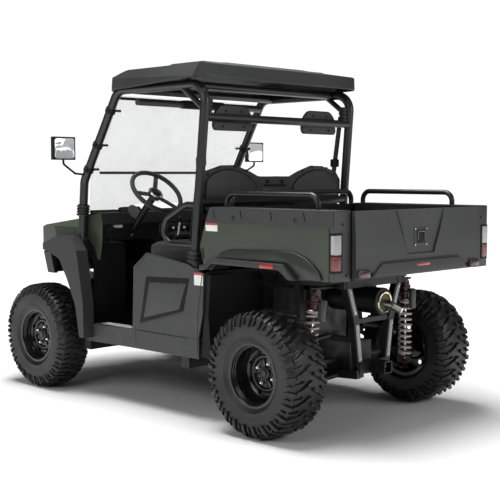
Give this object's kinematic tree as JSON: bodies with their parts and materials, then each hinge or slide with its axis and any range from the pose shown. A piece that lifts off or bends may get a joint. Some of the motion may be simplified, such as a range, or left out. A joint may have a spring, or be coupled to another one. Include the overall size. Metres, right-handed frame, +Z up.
{
  "type": "side by side utility vehicle",
  "caption": "Open two-seat off-road utility vehicle with a roll cage, hard roof, windshield, tipping cargo bed and turning wheels.",
  "frame": {"origin": "on the ground, under the middle of the vehicle's length and width", "axes": "+X forward, +Y to the vehicle's left, +Z up"},
  "size_m": [2.7904, 1.716, 1.925],
  "materials": {
    "black_steel": "satin black powder coat",
    "dark_plastic": "textured dark grey moulding",
    "green_panel": "dark olive moulded colour",
    "clear_lens": "clear",
    "clear_sheet": "clear sheet",
    "red_lens": "red and white lens",
    "seat_cover": "black vinyl",
    "webbing": "woven",
    "cast_metal": "as cast",
    "bare_steel": "bright",
    "tyre": "rubber",
    "grip": "soft grip"
  },
  "bodies": {
    "root": {"chassis_frame": "black_steel", "skid_plate": "black_steel", "floor_pan": "dark_plastic", "seat_base_panels": "dark_plastic", "rocker_sills": "dark_plastic", "front_fenders": "dark_plastic", "hood": "green_panel", "front_fascia": "dark_plastic", "headlights": "clear_lens", "front_bumper": "black_steel", "dashboard": "dark_plastic", "steering_column": "black_steel", "foot_pedals": "black_steel", "roll_cage": "black_steel", "roof": "dark_plastic", "windshield": "clear_sheet", "seat_cushions": "seat_cover", "seat_backs": "seat_cover", "seat_shell": "dark_plastic", "headrests": "dark_plastic", "seat_belts": "webbing", "side_mirrors": "dark_plastic", "wheel_arch_liners": "dark_plastic", "engine_block": "cast_metal", "muffler": "black_steel", "hitch_receiver": "black_steel", "front_arms": "black_steel", "rear_arms": "black_steel", "dampers": "bare_steel", "coil_springs": "bare_steel", "rear_knuckles": "cast_metal", "drive_line": "cast_metal"},
    "cargo_bed": {"bed_tub": "dark_plastic", "bed_side_panels": "green_panel", "bed_rails": "black_steel", "tail_lamps": "red_lens"},
    "tailgate": {"tailgate": "dark_plastic"},
    "steering_wheel": {"steering_wheel": "grip"},
    "steering_rack": {"steering_rack": "bare_steel"},
    "left_knuckle": {"left_front_knuckle": "cast_metal"},
    "right_knuckle": {"right_front_knuckle": "cast_metal"},
    "left_front_wheel": {"left_front_tyre": "tyre", "left_front_rim": "black_steel"},
    "right_front_wheel": {"right_front_tyre": "tyre", "right_front_rim": "black_steel"},
    "left_rear_wheel": {"left_rear_tyre": "tyre", "left_rear_rim": "black_steel"},
    "right_rear_wheel": {"right_rear_tyre": "tyre", "right_rear_rim": "black_steel"}
  },
  "joints": [
    {"name": "left_steer", "type": "hinge", "parent": "root", "child": "left_knuckle", "pos_m": [0.95, 0.536, 0.3175], "axis": [0, 0, 1], "range_deg": [-30, 30]},
    {"name": "right_steer", "type": "hinge", "parent": "root", "child": "right_knuckle", "pos_m": [0.95, -0.536, 0.3175], "axis": [0, 0, 1], "range_deg": [-30, 30]},
    {"name": "steering_rack_slide", "type": "slide", "parent": "root", "child": "steering_rack", "axis": [0, 1, 0], "range_m": [-0.053, 0.053]},
    {"name": "steering_wheel_turn", "type": "hinge", "parent": "root", "child": "steering_wheel", "pos_m": [0.272, 0.32, 1.198], "axis": [-0.7071, 0, 0.7071], "range_deg": [-361, 361]},
    {"name": "left_front_spin", "type": "hinge", "parent": "left_knuckle", "child": "left_front_wheel", "pos_m": [0.95, 0.634, 0.3175], "axis": [0, 1, 0], "continuous": true},
    {"name": "right_front_spin", "type": "hinge", "parent": "right_knuckle", "child": "right_front_wheel", "pos_m": [0.95, -0.634, 0.3175], "axis": [0, 1, 0], "continuous": true},
    {"name": "left_rear_spin", "type": "hinge", "parent": "root", "child": "left_rear_wheel", "pos_m": [-0.91, 0.619, 0.3175], "axis": [0, 1, 0], "continuous": true},
    {"name": "right_rear_spin", "type": "hinge", "parent": "root", "child": "right_rear_wheel", "pos_m": [-0.91, -0.619, 0.3175], "axis": [0, 1, 0], "continuous": true},
    {"name": "bed_tilt", "type": "hinge", "parent": "root", "child": "cargo_bed", "pos_m": [-1.082, 0, 0.776], "axis": [0, -1, 0], "range_deg": [0, 45]},
    {"name": "tailgate_hinge", "type": "hinge", "parent": "cargo_bed", "child": "tailgate", "pos_m": [-1.381, 0, 0.816], "axis": [0, -1, 0], "range_deg": [0, 90]}
  ],
  "couplings": [
    {"joint": "right_steer", "follows": "left_steer", "ratio": 1},
    {"joint": "steering_rack_slide", "follows": "left_steer", "m_per_rad": -0.1},
    {"joint": "steering_wheel_turn", "follows": "left_steer", "ratio": 12}
  ]
}
